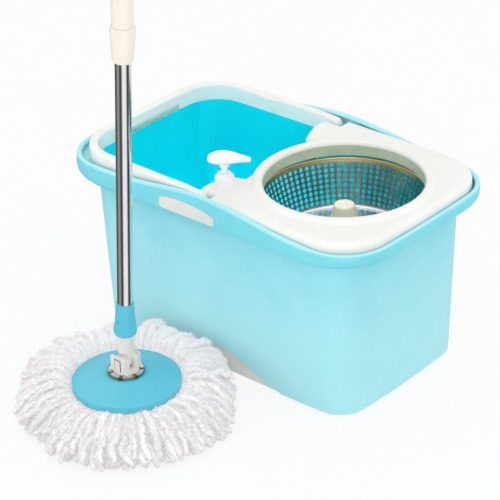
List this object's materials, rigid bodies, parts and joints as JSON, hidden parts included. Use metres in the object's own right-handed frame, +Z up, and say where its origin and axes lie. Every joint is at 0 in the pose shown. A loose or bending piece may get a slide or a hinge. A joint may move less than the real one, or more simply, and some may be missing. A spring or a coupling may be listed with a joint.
{
  "type": "spin mop",
  "caption": "Spin mop set: two-zone bucket with perforated spin basket, soap pump and carry handle, and a tilting round mop on a press-down pole.",
  "frame": {"origin": "middle of the bucket base on the floor", "axes": "+X toward the basket end, -Y toward the side where the mop stands, +Z up"},
  "size_m": [0.5406, 0.6061, 1.1878],
  "materials": {
    "body_blue": "satin moulded plastic, pale turquoise",
    "pale_grey": "satin moulded plastic",
    "white": "semi-gloss white moulded plastic",
    "white_ribbed": "satin, ribbed",
    "rubber_grey": "matt rubber",
    "steel": "polished perforated stainless sheet",
    "chrome": "bright tube",
    "zinc": "plain steel fasteners",
    "brass": "turned bush",
    "cream": "semi-gloss cream plastic",
    "cream_cone": "semi-gloss ivory plastic",
    "post_white": "moulded plastic",
    "bottle": "translucent moulded plastic",
    "seal": "soft seal",
    "disc_blue": "satin moulded plastic, turquoise blue",
    "yoke_grey": "moulded plastic, light grey",
    "strands": "white microfibre strands",
    "nylon": "moulded nylon"
  },
  "bodies": {
    "bucket": {"bucket_shell": "body_blue", "base_plinth": "pale_grey", "base_feet": "rubber_grey", "side_plate_front": "white", "side_plate_back": "white", "basket_cover": "white", "basket_post": "post_white", "post_screws": "zinc", "spindle_pin": "zinc", "soap_bottle": "bottle", "pump_collar": "white", "pump_gasket": "seal", "pump_cylinder": "nylon", "pump_spring": "zinc", "valve_ball": "zinc", "dip_tube": "nylon"},
    "pump_plunger": {"pump_piston": "nylon"},
    "pump_button": {"pump_stem": "white", "pump_head": "white"},
    "basket": {"basket_bowl": "steel", "basket_cone": "cream_cone", "cone_screws": "zinc", "basket_bush": "brass", "thrust_disc": "zinc"},
    "handle": {"carry_handle": "white", "handle_grip": "white_ribbed", "handle_pins": "zinc"},
    "yoke": {"mop_yoke": "yoke_grey", "yoke_retainer": "nylon", "tilt_pin": "zinc"},
    "mop_head": {"mop_disc": "disc_blue", "swivel_ring": "chrome", "strand_ring": "nylon", "mop_strands": "strands"},
    "lower_pole": {"knuckle_neck": "yoke_grey", "ferrule": "disc_blue", "ferrule_rivet": "zinc", "lower_tube": "chrome", "drive_nut": "nylon"},
    "slider": {"slide_bush": "nylon"},
    "upper_pole": {"upper_tube": "chrome", "grip_sleeve": "cream", "top_grip": "cream", "drive_rod": "zinc", "rod_plug": "nylon", "plug_rivet": "zinc"},
    "lock": {"lock_collar": "cream", "lock_ring": "nylon"}
  },
  "joints": [
    {"name": "handle_swing", "type": "hinge", "parent": "bucket", "child": "handle", "pos_m": [-0.01, 0, 0.271], "axis": [0, 1, 0], "range_deg": [0, 100]},
    {"name": "basket_spin", "type": "hinge", "parent": "bucket", "child": "basket", "pos_m": [0.1235, 0, 0.2], "axis": [0, 0, 1], "continuous": true},
    {"name": "pump_press", "type": "slide", "parent": "bucket", "child": "pump_plunger", "axis": [0, 0, -1], "range_m": [0, 0.008], "stiffness_N_per_m": 500, "springref_m": -0.004, "deforming": ["pump_spring"]},
    {"name": "pump_turn", "type": "hinge", "parent": "pump_plunger", "child": "pump_button", "pos_m": [0, -0.103, 0.3], "axis": [0, 0, 1], "continuous": true},
    {"name": "mop_lift", "type": "slide", "parent": "bucket", "child": "yoke", "axis": [0, -0.3746, 0.9272], "range_m": [0, 0.3]},
    {"name": "head_spin", "type": "hinge", "parent": "yoke", "child": "mop_head", "pos_m": [-0.028, -0.285, 0.03], "axis": [0, 0, 1], "continuous": true},
    {"name": "pole_tilt", "type": "hinge", "parent": "yoke", "child": "lower_pole", "pos_m": [-0.028, -0.285, 0.0785], "axis": [0, 1, 0], "range_deg": [-88, 79]},
    {"name": "handle_press", "type": "slide", "parent": "lower_pole", "child": "slider", "axis": [-0.0698, 0, -0.9976], "range_m": [0, 0.2]},
    {"name": "handle_turn", "type": "hinge", "parent": "slider", "child": "upper_pole", "pos_m": [0.0044, -0.285, 0.54187], "axis": [0.0698, 0, 0.9976], "continuous": true},
    {"name": "lock_twist", "type": "hinge", "parent": "upper_pole", "child": "lock", "pos_m": [0.00336, -0.285, 0.5269], "axis": [0.0698, 0, 0.9976], "range_deg": [0, 60]}
  ],
  "couplings": [
    {"joint": "handle_turn", "follows": "handle_press", "rad_per_m": -78.54}
  ]
}
